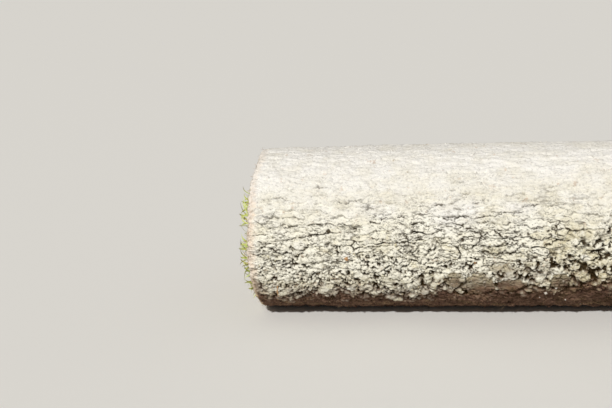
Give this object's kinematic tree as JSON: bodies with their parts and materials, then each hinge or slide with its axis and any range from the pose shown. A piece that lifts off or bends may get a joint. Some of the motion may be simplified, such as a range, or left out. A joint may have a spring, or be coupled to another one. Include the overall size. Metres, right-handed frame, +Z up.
{
  "type": "turf roll",
  "caption": "Rolled strip of lawn turf, soil side out and grass side in, lying on its side with its turns and a small hollow heart showing on both ends.",
  "frame": {"origin": "on the floor, below the middle of the roll", "axes": "+X along the roll's axis, +Y to the rear, where the strip's outer end lies, +Z up"},
  "size_m": [0.61, 0.27, 0.2345],
  "materials": {
    "soil": "matte",
    "thatch": "matte",
    "grass": "matte"
  },
  "bodies": {
    "root": {"turf_roll": "soil"}
  },
  "joints": []
}
